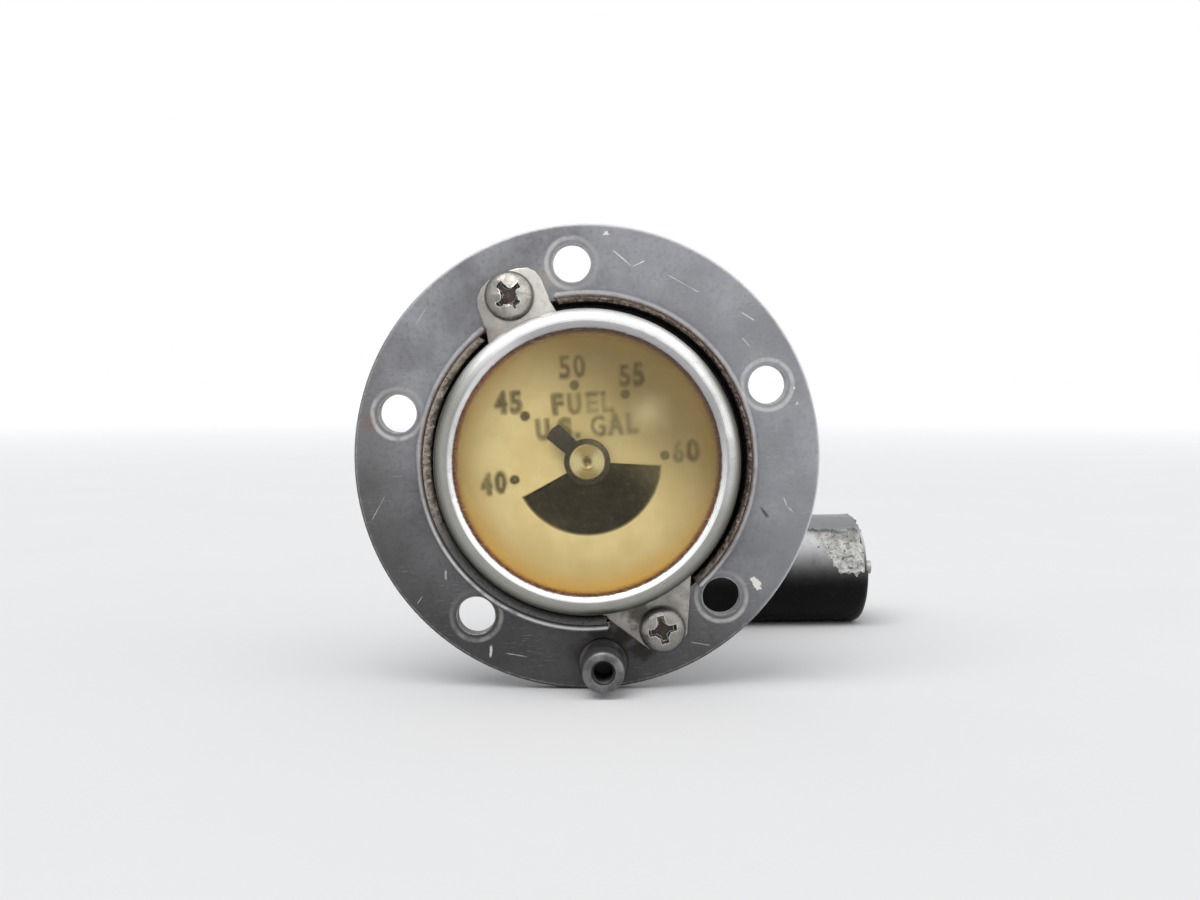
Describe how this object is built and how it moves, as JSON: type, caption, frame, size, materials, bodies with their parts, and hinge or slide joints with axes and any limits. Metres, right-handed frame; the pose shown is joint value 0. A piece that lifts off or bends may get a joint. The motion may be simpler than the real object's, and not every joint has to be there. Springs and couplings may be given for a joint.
{
  "type": "float fuel gauge",
  "caption": "Direct-reading float fuel gauge: round screw-down tank flange with a yellowed magnetic dial in front and a bevel-geared float arm behind.",
  "frame": {"origin": "centre of the flange's back face, which seats on the tank", "axes": "+Y back into the tank, square to the flange; the dial faces -Y; +Z to the flange's top hole; +X to the right as the dial is read"},
  "size_m": [0.0807, 0.0799, 0.0684],
  "materials": {
    "cast_aluminium": "dull machined casting, scratched",
    "dark_aluminium": "dark, bright on its edges",
    "case_aluminium": "dull, slightly yellowed",
    "bezel_aluminium": "spun, satin, nicked",
    "lens": "clear plastic, yellowed and hazy",
    "seal": "thin, dark orange-brown",
    "dial_print": "cream enamel with black print",
    "screw_plating": "worn plating",
    "steel": "ground",
    "dark_steel": "oiled black",
    "black_enamel": "matt black",
    "brass": "turned",
    "bronze": "sintered bronze",
    "magnet": "dark cast magnet",
    "yoke_casting": "as cast",
    "wire": "drawn stainless wire",
    "float_rubber": "glossy black skin over grey foam"
  },
  "bodies": {
    "housing": {"head_casting": "cast_aluminium", "cover_post": "dark_aluminium", "dial_case": "case_aluminium", "bezel": "bezel_aluminium", "lens": "lens", "lens_seal": "seal", "dial_plate": "dial_print", "dial_screws": "screw_plating", "dial_pivot": "steel", "support_yoke": "yoke_casting", "yoke_screws": "screw_plating", "shaft_bush": "bronze", "pivot_pin": "steel", "pivot_clips": "dark_steel", "stop_pin": "steel"},
    "dial_pointer": {"pointer": "black_enamel", "pointer_hub": "brass", "pointer_magnet": "magnet"},
    "shaft": {"centre_shaft": "steel", "magnet_carrier": "brass", "drive_magnet": "magnet", "thrust_washer": "bronze", "pinion": "brass", "pinion_pin": "steel"},
    "arm": {"sector_gear": "brass", "float_wire": "wire", "wire_screw": "dark_steel", "float_nuts": "screw_plating"},
    "float_body": {"float": "float_rubber"}
  },
  "joints": [
    {"name": "arm_pivot", "type": "hinge", "parent": "housing", "child": "arm", "pos_m": [0, 0.036, -0.0005], "axis": [1, 0, 0], "range_deg": [-26, 54]},
    {"name": "shaft_spin", "type": "hinge", "parent": "housing", "child": "shaft", "pos_m": [0, 0.01, -0.0005], "axis": [0, 1, 0], "range_deg": [-69.4, 144.1]},
    {"name": "pointer_spin", "type": "hinge", "parent": "housing", "child": "dial_pointer", "pos_m": [0, -0.003, -0.0005], "axis": [0, 1, 0], "range_deg": [-69.4, 144.1]},
    {"name": "float_spin", "type": "hinge", "parent": "arm", "child": "float_body", "pos_m": [0.02415, 0.05802, -0.02495], "axis": [0.9945, 0.0699, -0.0777], "continuous": true}
  ],
  "couplings": [
    {"joint": "shaft_spin", "follows": "arm_pivot", "ratio": 2.6667},
    {"joint": "pointer_spin", "follows": "arm_pivot", "ratio": 2.6667}
  ]
}
